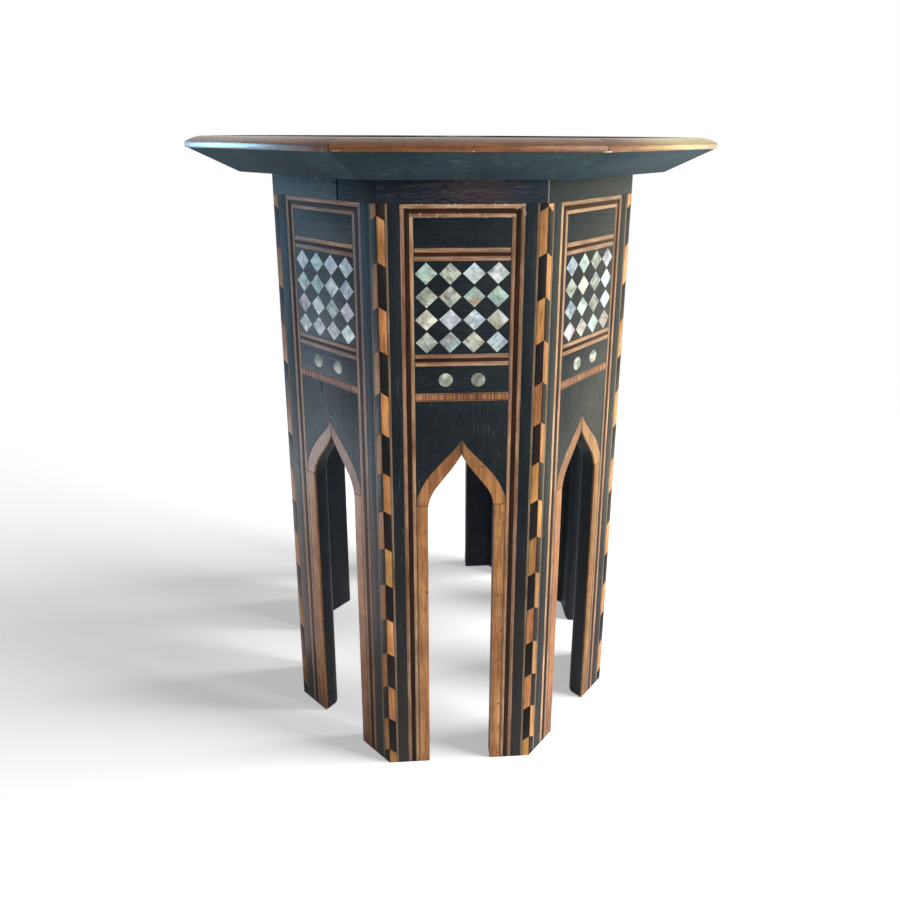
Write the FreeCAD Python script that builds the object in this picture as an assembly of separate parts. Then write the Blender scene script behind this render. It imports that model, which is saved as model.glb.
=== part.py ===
"""Octagonal inlaid side table: a straight eight-panel base with keel-arched legs under a moulded top.

Millimetres, +Z up, origin on the floor at the centre of the base. Panel 1 faces -Y and the panels are
numbered anticlockwise seen from above. Every panel is a mitred board that carries a thin facing of small
pieces: black veneer, light and dark strings, mother-of-pearl and the light edging of the arch.
"""
import FreeCAD, Part
import math
import os
from FreeCAD import Vector

# Driving dimensions of the whole table
SIDES = 8
table_height = 520.0
top_across_flats = 406.0
base_across_flats = 290.0

# Top: moulded rim, field board and the bevelled rails under it
rim_height = 8.5
rim_width = 14.0
rim_upright = 3.0          # plain outer face below the round of the rim
rim_round = 13.0           # how far the round of the rim runs in over the top
soffit_drop = 18.5         # height of the bevelled rails
soffit_setback = 1.5       # the bevel starts this far inside the rim
soffit_bevel = 34.0        # plan width of the bevel
soffit_rail_width = 50.0   # flat underside of a rail, inwards from the bevel

# Panels
facing = 2.0               # thickness of everything laid on a board
board = 14.0
frieze_height = 17.5       # plain black rail between the facing and the top
frieze_joint_panel = 8     # one rail is in two lengths with an open joint
frieze_joint_u = 19.2
frieze_joint_gap = 1.8

# Facing, from the middle of a panel outwards
field_half = 34.4          # half width of the black fields
inner_string = 3.3
dark_string = 2.9
outer_string = 3.6
bar_string = 4.0           # the cross bars are two light strings with a thin dark one between
bar_dark = 2.0
dogtooth_width = 6.0
corner_string = 1.7

# Facing, from its top edge downwards
upper_field = 20.6
lattice_height = 68.0
disc_strip = 20.8
rope_height = 6.2

# Mother-of-pearl
lattice_count = 4          # lozenges across and down
lozenge_gap = 0.7          # between the tips of neighbours
disc_radius = 5.6
disc_spacing = 24.0
disc_sides = 12            # the buttons are filed to many small flats
pearl = 1.2                # thickness, let into the black veneer

# Keel arch: jambs, then on each side a round haunch, a straight flank and a hollow up to the point
arch_half = 25.8
arch_spring = 238.5
arch_tip = 286.0
arch_haunch = 35.0         # radius
arch_flank = 52.6          # degrees from level
arch_hollow = 9.3          # the hollow starts this far from the middle

# The outer line of the edging round the arch
edging_half = 37.4
edging_spring = 229.5
edging_tip = 300.3
edging_haunch = 68.0
edging_flank = 47.5
edging_hollow = 6.5
edging_joint = 244.0       # height of the joint between an upright and a haunch

# Dogtooth of light and dark slanted blocks along each corner
tooth_pitch = 32.4
tooth_rise = 4.0
first_tooth = 463.5
tooth_lift = 6.0           # the blocks at one corner are set this much higher
tooth_lift_corner = 1      # a corner has the number of the panel before it

# Inside: blocks glued into the angle between each panel and the rail above it
block_length = 46.0
block_depth = 20.0
block_height = 22.0
block_chamfer = 9.0

# Inlay let into the top
top_inlay = 1.5
top_string_apothem = 168.0
star_side = 25.0

# Derived dimensions
half_turn = math.pi / SIDES
corner_slope = math.tan(half_turn)
top_apothem = top_across_flats / 2
base_apothem = base_across_flats / 2
rim_base = table_height - rim_height
soffit_base = rim_base - soffit_drop
facing_top = soffit_base - frieze_height
field_apothem = top_apothem - rim_width
board_face = base_apothem - facing
board_back = board_face - board
face_half = base_apothem * corner_slope
outer_half = field_half + inner_string + dark_string + outer_string
tooth_start = face_half - dogtooth_width
band_edge = tooth_start - corner_string
frame_depth = outer_half - field_half
bar_height = bar_string + bar_dark + bar_string
upper_field_top = facing_top - frame_depth
bar_one_top = upper_field_top - upper_field
lattice_top = bar_one_top - bar_height
bar_two_top = lattice_top - lattice_height
disc_strip_top = bar_two_top - bar_height
rope_top = disc_strip_top - disc_strip
spandrel_top = rope_top - rope_height


def turned(shape, index):
    """A copy of a front-panel shape carried round to panel number index."""
    copy = shape.copy()
    copy.rotate(Vector(0, 0, 0), Vector(0, 0, 1), (index - 1) * 360.0 / SIDES)
    return copy


def all_round(shapes):
    """Copies of front-panel shapes on every panel."""
    return [turned(shape, index) for index in range(1, SIDES + 1) for shape in shapes]


def save(name, shapes):
    """Write one node from one solid or from a group of separate solids."""
    group = shapes[0] if len(shapes) == 1 else Part.makeCompound(shapes)
    group.exportStep(os.path.join("parts", name + ".step"))


def sector():
    """The wedge of space that belongs to the front panel, between its two mitre planes."""
    reach = 2 * top_apothem
    half = reach * corner_slope
    points = [Vector(0, 0, 0), Vector(-half, -reach, 0), Vector(half, -reach, 0)]
    return Part.Face(Part.makePolygon(points + points[:1])).extrude(Vector(0, 0, table_height))


def face_of(points):
    """A flat face on the plane of the front panel from (across, height) points."""
    corners = [Vector(across, -base_apothem, height) for across, height in points]
    return Part.Face(Part.makePolygon(corners + corners[:1]))


def laid(face, thickness=facing):
    """A facing piece: a face on the outer plane, thickened inwards."""
    return face.extrude(Vector(0, thickness, 0))


def strip(left, right, bottom, top):
    """A rectangular facing piece."""
    return laid(face_of([(left, bottom), (right, bottom), (right, top), (left, top)]))


def profile_run(profile):
    """A rail along the front side from an (apothem, height) face, mitred at both ends."""
    length = 2 * top_apothem
    placed = profile.copy()
    placed.translate(Vector(-length / 2, 0, 0))
    return placed.extrude(Vector(length, 0, 0)).common(sector()).Solids[0]


def line(start, end):
    return Part.LineSegment(start, end).toShape()


def arch_curve(half, spring, tip, haunch, flank, hollow):
    """Right half of a keel arch, from the field edge or jamb up to its point, with its two ends."""
    slope = math.radians(flank)
    centre = Vector(half - haunch, -base_apothem, spring)

    def on_haunch(angle):
        return centre + Vector(math.cos(angle), 0, math.sin(angle)) * haunch

    # The haunch starts upright, or where it leaves the string beside the edging
    start_turn = math.acos(min(1.0, (field_half - centre.x) / haunch))
    end_turn = math.pi / 2 - slope
    shoulder = on_haunch(start_turn)
    flank_start = on_haunch(end_turn)
    flank_end = Vector(hollow, -base_apothem, flank_start.z + (flank_start.x - hollow) * math.tan(slope))
    point = Vector(0, -base_apothem, tip)
    chord = point - flank_end
    chord_slope = math.atan2(chord.z, -chord.x)
    sag = chord.Length / 2 * math.tan((chord_slope - slope) / 2)
    inward = Vector(-math.sin(chord_slope), 0, -math.cos(chord_slope))
    middle = flank_end + chord * 0.5 + inward * sag
    edges = [Part.Arc(shoulder, on_haunch((start_turn + end_turn) / 2), flank_start).toShape(),
             line(flank_start, flank_end),
             Part.Arc(flank_end, middle, point).toShape()]
    return edges, shoulder, point


def opening_curve():
    return arch_curve(arch_half, arch_spring, arch_tip, arch_haunch, arch_flank, arch_hollow)


def edging_curve():
    return arch_curve(edging_half, edging_spring, edging_tip, edging_haunch, edging_flank, edging_hollow)


def mirrored(shape):
    return shape.mirror(Vector(0, 0, 0), Vector(1, 0, 0))


def arch_opening():
    """The hole through a board: straight jambs up to the spring, then the keel arch."""
    half, spring, tip = opening_curve()
    foot = Vector(arch_half, -base_apothem, 0)
    right = [line(foot, spring)] + half
    left = [mirrored(edge) for edge in right]
    sill = line(Vector(-arch_half, -base_apothem, 0), foot)
    outline = Part.Wire(Part.__sortEdges__(right + left + [sill]))
    return Part.Face(outline).extrude(Vector(0, facing + board, 0))


def panel_board():
    """The mitred board of a panel, with its arch cut out."""
    outer, inner = board_face * corner_slope, board_back * corner_slope
    section = [Vector(-outer, -board_face, 0), Vector(outer, -board_face, 0),
               Vector(inner, -board_back, 0), Vector(-inner, -board_back, 0)]
    blank = Part.Face(Part.makePolygon(section + section[:1])).extrude(Vector(0, 0, soffit_base))
    return blank.cut(arch_opening()).Solids[0]


def frieze_rail(index):
    """The plain rail above the facing, in two lengths on the panel with the open joint."""
    rail = strip(-face_half, face_half, facing_top, soffit_base).common(sector())
    if index == frieze_joint_panel:
        gap_start = frieze_joint_u - frieze_joint_gap / 2
        rail = rail.cut(strip(gap_start, gap_start + frieze_joint_gap, facing_top, soffit_base))
    return [turned(solid, index) for solid in rail.Solids]


def arch_edging():
    """Four light pieces round the opening: two uprights, and two haunches mitred at the point."""
    inner, spring, apex = opening_curve()
    outer, shoulder, tip = edging_curve()
    inner_foot = Vector(arch_half, -base_apothem, 0)
    outer_foot = Vector(field_half, -base_apothem, 0)
    edges = inner + [line(apex, tip)] + outer
    edges += [line(shoulder, outer_foot), line(outer_foot, inner_foot), line(inner_foot, spring)]
    half = laid(Part.Face(Part.Wire(Part.__sortEdges__(edges))))
    upright = half.common(strip(0, field_half, 0, edging_joint)).Solids[0]
    haunch = half.common(strip(0, field_half, edging_joint, edging_tip)).Solids[0]
    return [mirrored(upright), mirrored(haunch), haunch, upright]


def spandrel():
    """The black field between the rope band and the arch edging."""
    half, shoulder, tip = edging_curve()
    right_top = Vector(field_half, -base_apothem, spandrel_top)
    right = half + [line(shoulder, right_top)]
    left = [mirrored(edge) for edge in right]
    edges = right + left + [line(Vector(-field_half, -base_apothem, spandrel_top), right_top)]
    return laid(Part.Face(Part.Wire(Part.__sortEdges__(edges))))


def frame_of(outside, width, top):
    """Three mitred strips down both sides and over the top of a panel."""
    inside = outside - width
    upright = laid(face_of([(inside, 0), (outside, 0), (outside, top), (inside, top - width)]))
    head = laid(face_of([(-inside, top - width), (inside, top - width), (outside, top), (-outside, top)]))
    return [mirrored(upright), head, upright]


def light_strings():
    """The light strings of one panel."""
    dark_outside = outer_half - outer_string
    inner_outside = dark_outside - dark_string
    pieces = frame_of(outer_half, outer_string, facing_top)
    pieces += frame_of(inner_outside, inner_string, facing_top - outer_string - dark_string)
    for bar_top in (bar_one_top, bar_two_top):
        pieces.append(strip(-field_half, field_half, bar_top - bar_string, bar_top))
        pieces.append(strip(-field_half, field_half, bar_top - bar_height, bar_top - bar_height + bar_string))
    edge = strip(band_edge, tooth_start, 0, facing_top)
    return pieces + [mirrored(edge), edge]


def dark_strings():
    """The dark strings of one panel, between the light ones."""
    pieces = frame_of(outer_half - outer_string, dark_string, facing_top - outer_string)
    for bar_top in (bar_one_top, bar_two_top):
        middle_top = bar_top - bar_string
        pieces.append(strip(-field_half, field_half, middle_top - bar_dark, middle_top))
    return pieces


def lozenge_faces():
    """The lattice of lozenges, point to point, as flat faces."""
    pitch_across = 2 * field_half / lattice_count
    pitch_down = lattice_height / lattice_count
    across_half = (pitch_across - lozenge_gap) / 2
    down_half = (pitch_down - lozenge_gap) / 2
    faces = []
    for row in range(lattice_count):
        height = lattice_top - pitch_down * (row + 0.5)
        for column in range(lattice_count):
            across = -field_half + pitch_across * (column + 0.5)
            faces.append(face_of([(across - across_half, height), (across, height - down_half),
                                  (across + across_half, height), (across, height + down_half)]))
    return faces


def disc_faces():
    """Two pearl buttons on the strip below the lattice."""
    height = disc_strip_top - disc_strip / 2
    angles = [2 * math.pi * (number + 0.5) / disc_sides for number in range(disc_sides)]
    faces = []
    for middle in (-disc_spacing / 2, disc_spacing / 2):
        faces.append(face_of([(middle + disc_radius * math.cos(a), height + disc_radius * math.sin(a))
                              for a in angles]))
    return faces


def black_veneers():
    """The black fields and bands of one panel, with recesses for the pearl."""
    band = strip(outer_half, band_edge, 0, facing_top)
    lattice = strip(-field_half, field_half, bar_two_top, lattice_top)
    buttons = strip(-field_half, field_half, rope_top, disc_strip_top)
    pieces = [mirrored(band), band, strip(-field_half, field_half, bar_one_top, upper_field_top)]
    for ground, pearls in ((lattice, lozenge_faces()), (buttons, disc_faces())):
        recesses = Part.makeCompound([laid(face, pearl) for face in pearls])
        pieces.append(ground.cut(recesses).Solids[0])
    return pieces + [spandrel()]


def tooth_column(corner):
    """Slanted blocks along the right edge of the front panel, from the top down, as lists of solids."""
    lift = tooth_lift if corner == tooth_lift_corner else 0.0
    limits = strip(tooth_start, face_half, 0, facing_top).common(sector())
    joints = [facing_top + tooth_pitch]
    while joints[-1] > -tooth_rise:
        joints.append(first_tooth + lift - tooth_pitch * (len(joints) - 1))
    column = []
    for upper, lower in zip(joints, joints[1:]):
        block = laid(face_of([(tooth_start, lower), (face_half, lower + tooth_rise),
                              (face_half, upper + tooth_rise), (tooth_start, upper)]))
        column.append(block.common(limits).Solids)
    return column


def dogtooth(index):
    """The blocks up both edges of a panel, as (light, dark). Neighbouring panels are counterchanged."""
    teeth = {0: [], 1: []}
    corner_before = index - 1 if index > 1 else SIDES
    for number, solids in enumerate(tooth_column(index)):
        teeth[(number + index) % 2] += [turned(solid, index) for solid in solids]
    for number, solids in enumerate(tooth_column(corner_before)):
        teeth[(number + index) % 2] += [turned(mirrored(solid), index) for solid in solids]
    return teeth[0], teeth[1]


def soffit_profile():
    """Section of a bevelled rail, in the plane across the front side."""
    outer = top_apothem - soffit_setback
    toe = outer - soffit_bevel
    inner = toe - soffit_rail_width
    points = [(outer, rim_base), (toe, soffit_base), (inner, soffit_base), (inner, rim_base)]
    corners = [Vector(0, -apothem, height) for apothem, height in points]
    return Part.Face(Part.makePolygon(corners + corners[:1]))


def rim_profile():
    """Section of the moulded rim: plain upright, an arris, then a broad round that dies into the top."""
    shoulder = rim_base + rim_upright
    rise = table_height - shoulder
    crown = top_apothem - rim_round
    radius = (rim_round ** 2 + rise ** 2) / (2 * rise)
    half_sweep = math.asin(rim_round / radius) / 2
    start = Vector(0, -top_apothem, shoulder)
    end = Vector(0, -crown, table_height)
    middle = end - Vector(0, math.sin(half_sweep), 1 - math.cos(half_sweep)) * radius
    inside_top = Vector(0, -field_apothem, table_height)
    inside_base = Vector(0, -field_apothem, rim_base)
    outside_base = Vector(0, -top_apothem, rim_base)
    edges = [line(outside_base, start), Part.Arc(start, middle, end).toShape(), line(end, inside_top),
             line(inside_top, inside_base), line(inside_base, outside_base)]
    return Part.Face(Part.Wire(edges))


def top_block():
    """A glue block behind a panel, with its free corner planed off."""
    front, back = -board_back, -board_back + block_depth
    base = soffit_base - block_height
    section = [(front, base), (back - block_chamfer, base), (back, base + block_chamfer),
               (back, soffit_base), (front, soffit_base)]
    corners = [Vector(-block_length / 2, depth, height) for depth, height in section]
    return Part.Face(Part.makePolygon(corners + corners[:1])).extrude(Vector(block_length, 0, 0))


def octagon(apothem, height):
    """An octagonal wire with flats across X and Y."""
    radius = apothem / math.cos(half_turn)
    angles = [half_turn + 2 * half_turn * number for number in range(SIDES)]
    corners = [Vector(radius * math.cos(a), radius * math.sin(a), height) for a in angles]
    return Part.makePolygon(corners + corners[:1])


def top_string(apothem, width):
    """One mitred strip of an octagonal string let into the top, on the front side."""
    low = table_height - top_inlay
    corners = [Vector(-(apothem - width) * corner_slope, -(apothem - width), low),
               Vector((apothem - width) * corner_slope, -(apothem - width), low),
               Vector(apothem * corner_slope, -apothem, low), Vector(-apothem * corner_slope, -apothem, low)]
    return Part.Face(Part.makePolygon(corners + corners[:1])).extrude(Vector(0, 0, top_inlay))


def star_point():
    """One pearl lozenge of the eight-pointed star in the middle of the top."""
    low = Vector(0, 0, table_height - top_inlay)
    left = Vector(-math.sin(half_turn), -math.cos(half_turn), 0) * star_side
    right = Vector(math.sin(half_turn), -math.cos(half_turn), 0) * star_side
    corners = [low, low + left, low + left + right, low + right]
    return Part.Face(Part.makePolygon(corners + corners[:1])).extrude(Vector(0, 0, top_inlay))


def top_board(inlays):
    """The octagonal board inside the rim, with recesses for its inlay."""
    blank = Part.Face(octagon(field_apothem, rim_base)).extrude(Vector(0, 0, rim_height))
    return blank.cut(Part.makeCompound(inlays)).Solids[0]


def build():
    os.makedirs("parts", exist_ok=True)
    rail = profile_run(soffit_profile())
    rim = profile_run(rim_profile())
    panel = panel_board()
    edging = arch_edging()
    strings = light_strings()
    dark_top = top_string(top_string_apothem - outer_string, dark_string)
    light_top = [top_string(top_string_apothem, outer_string),
                 top_string(top_string_apothem - outer_string - dark_string, inner_string)]
    top_lights = all_round(light_top)
    top_darks = all_round([dark_top])
    star = all_round([star_point()])
    save("top_board", [top_board(top_lights + top_darks + star)])
    save("top_stringing", top_lights)
    save("top_star", star)
    light_teeth, dark_teeth = [], []
    for index in range(1, SIDES + 1):
        save(f"top_moulding_{index}", [turned(rim, index)])
        save(f"soffit_rail_{index}", [turned(rail, index)])
        save(f"panel_board_{index}", [turned(panel, index)])
        save(f"frieze_rail_{index}", frieze_rail(index))
        save(f"arch_edging_{index}", [turned(piece, index) for piece in edging])
        save(f"stringing_{index}", [turned(piece, index) for piece in strings])
        light, dark = dogtooth(index)
        light_teeth += light
        dark_teeth += dark
    save("dogtooth_light", light_teeth)
    save("dogtooth_dark", dark_teeth)
    save("dark_stringing", all_round(dark_strings()) + top_darks)
    save("black_veneer", all_round(black_veneers()))
    save("pearl_lozenges", all_round([laid(face, pearl) for face in lozenge_faces()]))
    save("pearl_discs", all_round([laid(face, pearl) for face in disc_faces()]))
    save("rope_banding", all_round([strip(-field_half, field_half, spandrel_top, rope_top)]))
    save("top_blocks", all_round([top_block()]))


build()
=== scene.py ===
import math
import random
import bpy
from mathutils import Matrix, Vector


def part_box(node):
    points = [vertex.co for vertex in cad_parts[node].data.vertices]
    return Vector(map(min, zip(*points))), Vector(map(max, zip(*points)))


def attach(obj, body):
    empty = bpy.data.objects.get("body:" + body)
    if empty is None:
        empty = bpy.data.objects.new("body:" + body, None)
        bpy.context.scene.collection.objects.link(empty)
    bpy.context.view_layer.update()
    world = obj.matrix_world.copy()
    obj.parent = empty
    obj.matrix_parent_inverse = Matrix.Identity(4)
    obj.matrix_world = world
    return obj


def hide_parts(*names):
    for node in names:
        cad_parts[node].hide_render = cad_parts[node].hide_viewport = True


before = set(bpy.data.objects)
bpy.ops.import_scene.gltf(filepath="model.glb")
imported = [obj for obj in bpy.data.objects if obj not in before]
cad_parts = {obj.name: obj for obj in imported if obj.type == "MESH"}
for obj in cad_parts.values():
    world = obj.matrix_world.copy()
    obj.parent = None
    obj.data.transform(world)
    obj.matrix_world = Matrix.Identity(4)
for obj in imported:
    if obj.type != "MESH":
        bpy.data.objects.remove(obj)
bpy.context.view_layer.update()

sides = 8
turnStep = 2 * math.pi / sides
cornerSlope = math.tan(turnStep / 2)
weldGap = 0.00001
slack = 0.0002
flatAngle, smoothAngle, sharpAngle = (math.radians(degrees) for degrees in (1, 25, 28))


# selection, copying and cutting, as done by hand in the viewport
def deselectAll():
    if bpy.context.object and bpy.context.object.mode != "OBJECT":
        bpy.ops.object.mode_set(mode="OBJECT")
    bpy.ops.object.select_all(action="DESELECT")


def pick(*pieces):
    deselectAll()
    for piece in pieces:
        piece.select_set(True)
    bpy.context.view_layer.objects.active = pieces[0]


def pickVertices(piece, test):  # leaves the piece in edit mode with the chosen vertices selected
    pick(piece)
    bpy.context.tool_settings.mesh_select_mode = (True, False, False)
    for part in (piece.data.polygons, piece.data.edges, piece.data.vertices):
        part.foreach_set("select", [False] * len(part))
    for vertex in piece.data.vertices:
        vertex.select = test(vertex.co)
    bpy.ops.object.mode_set(mode="EDIT")
    bpy.ops.mesh.select_mode(type="VERT")


def addBar(name, low, high):
    deselectAll()
    low, high = Vector(low), Vector(high)
    bpy.ops.mesh.primitive_cube_add(size=1, location=(low + high) / 2, scale=high - low)
    bar = bpy.context.object
    bpy.ops.object.transform_apply(location=True, rotation=True, scale=True)
    bar.name = name
    return bar


def cutAway(piece, point, normal):  # takes off what lies on the normal's side and closes the cut
    pick(piece)
    bpy.ops.object.mode_set(mode="EDIT")
    bpy.ops.mesh.select_all(action="SELECT")
    bpy.ops.mesh.bisect(plane_co=point, plane_no=normal, use_fill=True, clear_outer=True)
    bpy.ops.object.mode_set(mode="OBJECT")


def mitreEnds(piece):  # trims a front piece between the two planes through the corners of its panel
    for side in (-1, 1):
        cutAway(piece, (0, 0, 0), (side, cornerSlope, 0))


def joinPieces(name, pieces):
    pick(*pieces)
    if len(pieces) > 1:
        bpy.ops.object.join()
    joined = bpy.context.object
    joined.name = name
    return joined


def copyPiece(piece, name, matrix=None):
    pick(piece)
    bpy.ops.object.duplicate()
    twin = bpy.context.object
    twin.name = name
    if matrix is not None:
        twin.data.transform(matrix)
    return twin


def mirrorCopy(piece, name):
    twin = copyPiece(piece, name, Matrix.Diagonal((-1, 1, 1, 1)))
    pick(twin)
    bpy.ops.object.mode_set(mode="EDIT")
    bpy.ops.mesh.select_all(action="SELECT")
    bpy.ops.mesh.normals_make_consistent(inside=False)
    bpy.ops.object.mode_set(mode="OBJECT")
    return twin


def onPanel(index):  # carries a front piece round to a panel
    return Matrix.Rotation((index - 1) * turnStep, 4, "Z")


def allRound(piece, stem):  # eight separate copies, the last being the piece itself
    twins = [copyPiece(piece, f"{stem}_{index}", onPanel(index)) for index in range(1, sides)]
    piece.name = f"{stem}_{sides}"
    piece.data.transform(onPanel(sides))
    return twins + [piece]


def copyNode(node, name, keep=None):  # a merged copy of a solid, or of the part of it that keep picks
    pick(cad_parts[node])
    bpy.ops.object.duplicate()
    twin = bpy.context.object
    for tag in [key for key in twin.keys() if key.startswith("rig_")]:
        del twin[tag]
    twin.parent = None
    twin.name = name
    if keep:
        pickVertices(twin, lambda place: not keep(place))
        bpy.ops.mesh.delete(type="VERT")
    pick(twin)
    bpy.ops.object.mode_set(mode="EDIT")
    bpy.ops.mesh.select_all(action="SELECT")
    bpy.ops.mesh.remove_doubles(threshold=weldGap)
    bpy.ops.mesh.dissolve_limited(angle_limit=flatAngle)
    bpy.ops.object.mode_set(mode="OBJECT")
    return twin


def applyModifier(piece, kind, **settings):
    pick(piece)
    modifier = piece.modifiers.new(kind.lower(), kind)
    for name, value in settings.items():
        setattr(modifier, name, value)
    bpy.ops.object.modifier_apply(modifier=modifier.name)


def soften(piece, width, segments=2):  # rounds every sharp edge a little
    applyModifier(piece, "BEVEL", width=width, segments=segments, limit_method="ANGLE",
                  angle_limit=sharpAngle, use_clamp_overlap=True)
    pick(piece)
    bpy.ops.object.shade_smooth_by_angle(angle=smoothAngle)  # flat faces stay flat


def islandsOf(mesh):  # vertex numbers of each separate bit of a mesh
    leader = list(range(len(mesh.vertices)))

    def find(number):
        while leader[number] != number:
            leader[number] = leader[leader[number]]
            number = leader[number]
        return number

    for edge in mesh.edges:
        first, second = find(edge.vertices[0]), find(edge.vertices[1])
        leader[max(first, second)] = min(first, second)
    groups = {}
    for number in range(len(mesh.vertices)):
        groups.setdefault(find(number), []).append(number)
    return list(groups.values())


def markGrain(piece, seed):
    # every bit gets a grain map along its length, a map of its own outline and three numbers of its own
    mesh = piece.data
    while mesh.uv_layers:
        mesh.uv_layers.remove(mesh.uv_layers[0])
    draw = random.Random(seed)
    grainAt = [None] * len(mesh.vertices)
    withinAt = [None] * len(mesh.vertices)
    own = mesh.attributes.new("own", "FLOAT_VECTOR", "POINT")
    for group in islandsOf(mesh):
        middle = sum((mesh.vertices[n].co for n in group), Vector()) / len(group)
        turn = round(math.atan2(middle.x, -middle.y) / turnStep) * turnStep
        facing = Matrix.Rotation(-turn, 3, "Z")
        places = [facing @ mesh.vertices[n].co for n in group]
        low = Vector([min(p[axis] for p in places) for axis in range(3)])
        size = Vector([max(p[axis] for p in places) for axis in range(3)]) - low
        thin, across, along = sorted(range(3), key=lambda axis: size[axis])
        slide = (draw.uniform(0, 7), draw.uniform(0, 7))
        numbers = (draw.random(), draw.random(), draw.random())
        for n, place in zip(group, places):
            grainAt[n] = (place[across] + place[thin] + slide[0], place[along] + slide[1])
            withinAt[n] = (2 * (place[across] - low[across]) / size[across] - 1,
                           2 * (place[along] - low[along]) / size[along] - 1)
            own.data[n].vector = numbers
    for layerName, values in (("grain", grainAt), ("within", withinAt)):
        layer = mesh.uv_layers.new(name=layerName)
        for loop in mesh.loops:
            layer.data[loop.index].uv = values[loop.vertex_index]


def finishPiece(piece, material, nodes, seed):
    markGrain(piece, seed)
    piece.data.materials.clear()
    piece.data.materials.append(material)
    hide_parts(*nodes)
    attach(piece, "root")


# small shader graph helpers
class Graph:
    def __init__(self, owner):  # a material or a world
        owner.use_nodes = True
        self.tree = owner.node_tree
        self.shader = self.tree.nodes.get("Principled BSDF")

    def node(self, kind, inputs=None, **settings):
        made = self.tree.nodes.new(kind)
        for key, value in settings.items():
            setattr(made, key, value)
        for key, value in (inputs or {}).items():
            if isinstance(value, bpy.types.NodeSocket):
                self.tree.links.new(value, made.inputs[key])
            else:
                made.inputs[key].default_value = value
        return made

    def math(self, operation, first, second=0.0):
        return self.node("ShaderNodeMath", {0: first, 1: second}, operation=operation).outputs[0]

    def mult(self, first, second):
        return self.math("MULTIPLY", first, second)

    def plus(self, first, second):
        return self.math("ADD", first, second)

    def most(self, first, second):
        return self.math("MAXIMUM", first, second)

    def ramp(self, factor, stops):  # stops are (place, colour)
        made = self.node("ShaderNodeValToRGB", {"Fac": factor})
        elements = made.color_ramp.elements
        while len(elements) < len(stops):
            elements.new(0.5)
        for element, (place, colour) in zip(elements, stops):
            element.position = place
            element.color = (*colour, 1)
        return made.outputs["Color"]

    def span(self, value, fromLow, fromHigh, toLow, toHigh):
        inputs = {"Value": value, "From Min": fromLow, "From Max": fromHigh,
                  "To Min": toLow, "To Max": toHigh}
        return self.node("ShaderNodeMapRange", inputs).outputs["Result"]

    def mix(self, factor, first, second):
        made = self.node("ShaderNodeMix", data_type="RGBA")
        for key, value in (("Factor", factor), (6, first), (7, second)):
            socket = made.inputs[key]
            if isinstance(value, bpy.types.NodeSocket):
                self.tree.links.new(value, socket)
            else:
                socket.default_value = value if isinstance(value, float) else (*value, 1)
        return made.outputs[2]

    def toned(self, **inputs):  # a colour with its hue, saturation or value changed
        return self.node("ShaderNodeHueSaturation", inputs).outputs["Color"]

    def noise(self, vector, scale, detail, rough, distort=0.0):
        inputs = {"Vector": vector, "Scale": scale, "Detail": detail,
                  "Roughness": rough, "Distortion": distort}
        return self.node("ShaderNodeTexNoise", inputs).outputs["Fac"]

    def drawnOut(self, vector, counts):  # a map scaled to counts per metre across and along
        return self.node("ShaderNodeMapping", {"Vector": vector, "Scale": (*counts, 1)}).outputs["Vector"]

    def grainPlace(self):
        return self.node("ShaderNodeUVMap", uv_map="grain").outputs["UV"]

    def grain(self, counts, detail, rough, distort=0.0):  # noise along each bit
        return self.noise(self.drawnOut(self.grainPlace(), counts), 1.0, detail, rough, distort)

    def objectPlace(self):
        return self.node("ShaderNodeTexCoord").outputs["Object"]

    def parts(self, vector):
        return self.node("ShaderNodeSeparateXYZ", {"Vector": vector}).outputs

    def level(self):  # height above the floor
        return self.parts(self.objectPlace())["Z"]

    def within(self):  # -1 to 1 across and along each bit
        return self.parts(self.node("ShaderNodeUVMap", uv_map="within").outputs["UV"])

    def own(self):  # the three numbers of each bit
        return self.parts(self.node("ShaderNodeAttribute", attribute_name="own").outputs["Vector"])

    def cells(self, vector, scale):  # distance to the middle of each cell, and three numbers for it
        made = self.node("ShaderNodeTexVoronoi", {"Vector": vector, "Scale": scale, "Randomness": 1.0})
        numbers = self.node("ShaderNodeSeparateColor", {"Color": made.outputs["Color"]}).outputs
        return made.outputs["Distance"], numbers

    def specks(self, scale, full, gone, rare):  # round spots on object coordinates, only the rarer ones kept
        distance, numbers = self.cells(self.objectPlace(), scale)
        kept = self.math("GREATER_THAN", numbers["Red"], rare)
        return self.mult(self.span(distance, full, gone, 1.0, 0.0), kept)

    def seen(self):  # 1 to the eye, straight or by reflection
        path = self.node("ShaderNodeLightPath").outputs
        return self.most(path["Is Camera Ray"], self.most(path["Is Glossy Ray"], path["Is Transmission Ray"]))

    def bump(self, height, strength, distance):
        inputs = {"Height": height, "Strength": strength, "Distance": distance}
        self.link(self.node("ShaderNodeBump", inputs).outputs["Normal"], "Normal")

    def link(self, socket, name):
        self.tree.links.new(socket, self.shader.inputs[name])

    def set(self, **values):
        for name, value in values.items():
            self.shader.inputs[name.replace("_", " ")].default_value = value

    def surface(self, shader, output):
        self.tree.links.new(shader.outputs[0], self.tree.nodes[output].inputs["Surface"])


def tint(red, green, blue):  # from screen values 0 to 255 to shader values
    def one(value):
        share = value / 255
        return share / 12.92 if share <= 0.04045 else ((share + 0.055) / 1.055) ** 2.4
    return one(red), one(green), one(blue)


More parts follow.
